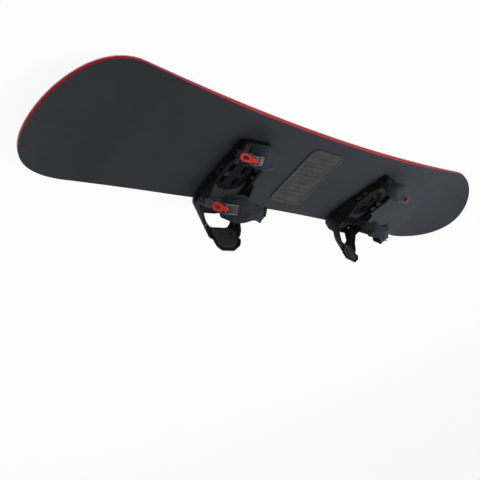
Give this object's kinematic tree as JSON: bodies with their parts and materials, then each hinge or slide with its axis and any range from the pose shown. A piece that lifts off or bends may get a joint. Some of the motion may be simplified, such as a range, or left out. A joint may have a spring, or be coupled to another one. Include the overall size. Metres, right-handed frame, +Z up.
{
  "type": "snowboard with strap bindings",
  "caption": "Twin-tip snowboard with red sidewalls, grip pad and two low-back strap bindings with ratchet levers.",
  "frame": {"origin": "centre of the flat running base, on the snow side", "axes": "+X from nose to tail, +Y to the toe edge, +Z up out of the topsheet"},
  "size_m": [1.58, 0.3254, 0.1594],
  "materials": {
    "topsheet": "satin polyurethane topsheet",
    "sidewall": "red ABS",
    "steel": "ground edge steel",
    "base": "sintered polyethylene",
    "laminate": "fibreglass",
    "core": "laminated poplar",
    "spacer": "tip spacer",
    "insert": "stainless",
    "grip": "moulded grip pad",
    "chassis": "glass-filled nylon",
    "hoop": "moulded nylon",
    "foam": "EVA foam",
    "rubber": "rubber gasket",
    "screw": "black zinc steel",
    "pad": "padded synthetic leather",
    "cap": "moulded toe cap",
    "ladder": "flexible urethane",
    "link": "flexible urethane",
    "buckle": "anodised aluminium",
    "lever": "red anodised aluminium"
  },
  "bodies": {
    "board": {"base_sheet": "base", "steel_edge": "steel", "lower_laminate": "laminate", "sidewall": "sidewall", "wood_core": "core", "tip_spacers": "spacer", "upper_laminate": "laminate", "topsheet": "topsheet", "binding_inserts": "insert", "stomp_pad": "grip", "front_gasket": "rubber", "front_baseplate": "chassis", "front_disc": "chassis", "front_disc_screws": "screw", "front_heelcup": "hoop", "front_heelcup_bolts": "screw", "front_heel_footbed": "foam", "front_toe_footbed": "foam", "front_highback_pivots": "screw", "front_ankle_bolts": "screw", "front_toe_bolts": "screw", "rear_gasket": "rubber", "rear_baseplate": "chassis", "rear_disc": "chassis", "rear_disc_screws": "screw", "rear_heelcup": "hoop", "rear_heelcup_bolts": "screw", "rear_heel_footbed": "foam", "rear_toe_footbed": "foam", "rear_highback_pivots": "screw", "rear_ankle_bolts": "screw", "rear_toe_bolts": "screw"},
    "front_highback": {"front_highback": "hoop", "front_highback_pad": "foam"},
    "front_lean_adjuster": {"front_lean_adjuster": "chassis"},
    "front_ankle_strap": {"front_ankle_pad": "pad", "front_ankle_ladder": "ladder", "front_ankle_link": "link", "front_ankle_buckle": "buckle"},
    "front_ankle_lever": {"front_ankle_lever": "lever"},
    "front_toe_strap": {"front_toe_cap": "cap", "front_toe_ladder": "ladder", "front_toe_link": "link", "front_toe_buckle": "buckle"},
    "front_toe_lever": {"front_toe_lever": "lever"},
    "rear_highback": {"rear_highback": "hoop", "rear_highback_pad": "foam"},
    "rear_lean_adjuster": {"rear_lean_adjuster": "chassis"},
    "rear_ankle_strap": {"rear_ankle_pad": "pad", "rear_ankle_ladder": "ladder", "rear_ankle_link": "link", "rear_ankle_buckle": "buckle"},
    "rear_ankle_lever": {"rear_ankle_lever": "lever"},
    "rear_toe_strap": {"rear_toe_cap": "cap", "rear_toe_ladder": "ladder", "rear_toe_link": "link", "rear_toe_buckle": "buckle"},
    "rear_toe_lever": {"rear_toe_lever": "lever"}
  },
  "joints": [
    {"name": "front_highback_fold", "type": "hinge", "parent": "board", "child": "front_highback", "pos_m": [-0.24216, -0.11966, 0.052], "axis": [-0.9962, -0.0872, 0], "range_deg": [0, 80]},
    {"name": "front_lean_adjust", "type": "slide", "parent": "front_highback", "child": "front_lean_adjuster", "axis": [0, 0, 1], "range_m": [0, 0.014]},
    {"name": "front_ankle_strap_swing", "type": "hinge", "parent": "board", "child": "front_ankle_strap", "pos_m": [-0.24372, -0.10173, 0.056], "axis": [-0.9962, -0.0872, 0], "range_deg": [-8, 28]},
    {"name": "front_toe_strap_swing", "type": "hinge", "parent": "board", "child": "front_toe_strap", "pos_m": [-0.25636, 0.04272, 0.035], "axis": [-0.9962, -0.0872, 0], "range_deg": [-25, 12]},
    {"name": "front_ankle_lever_lift", "type": "hinge", "parent": "front_ankle_strap", "child": "front_ankle_lever", "pos_m": [-0.31641, -0.05137, 0.12831], "axis": [-0.0687, 0.785, -0.6157], "range_deg": [0, 65], "stiffness_Nm_per_rad": 0.02, "springref_deg": -20.05},
    {"name": "front_toe_lever_lift", "type": "hinge", "parent": "front_toe_strap", "child": "front_toe_lever", "pos_m": [-0.2946, 0.06363, 0.08453], "axis": [-0.0783, 0.8954, -0.4384], "range_deg": [0, 65], "stiffness_Nm_per_rad": 0.02, "springref_deg": -20.05},
    {"name": "rear_highback_fold", "type": "hinge", "parent": "board", "child": "rear_highback", "pos_m": [0.27423, -0.11233, 0.052], "axis": [-0.9703, 0.2419, 0], "range_deg": [0, 80]},
    {"name": "rear_lean_adjust", "type": "slide", "parent": "rear_highback", "child": "rear_lean_adjuster", "axis": [0, 0, 1], "range_m": [0, 0.014]},
    {"name": "rear_ankle_strap_swing", "type": "hinge", "parent": "board", "child": "rear_ankle_strap", "pos_m": [0.27858, -0.09486, 0.056], "axis": [-0.9703, 0.2419, 0], "range_deg": [-8, 28]},
    {"name": "rear_toe_strap_swing", "type": "hinge", "parent": "board", "child": "rear_toe_strap", "pos_m": [0.31366, 0.04583, 0.035], "axis": [-0.9703, 0.2419, 0], "range_deg": [-25, 12]},
    {"name": "rear_ankle_lever_lift", "type": "hinge", "parent": "rear_ankle_strap", "child": "rear_ankle_lever", "pos_m": [0.35825, -0.0565, 0.12831], "axis": [-0.1906, -0.7646, 0.6157], "range_deg": [0, 65], "stiffness_Nm_per_rad": 0.02, "springref_deg": -20.05},
    {"name": "rear_toe_lever_lift", "type": "hinge", "parent": "rear_toe_strap", "child": "rear_toe_lever", "pos_m": [0.3547, 0.0605, 0.08453], "axis": [-0.2174, -0.8721, 0.4384], "range_deg": [0, 65], "stiffness_Nm_per_rad": 0.02, "springref_deg": -20.05}
  ]
}
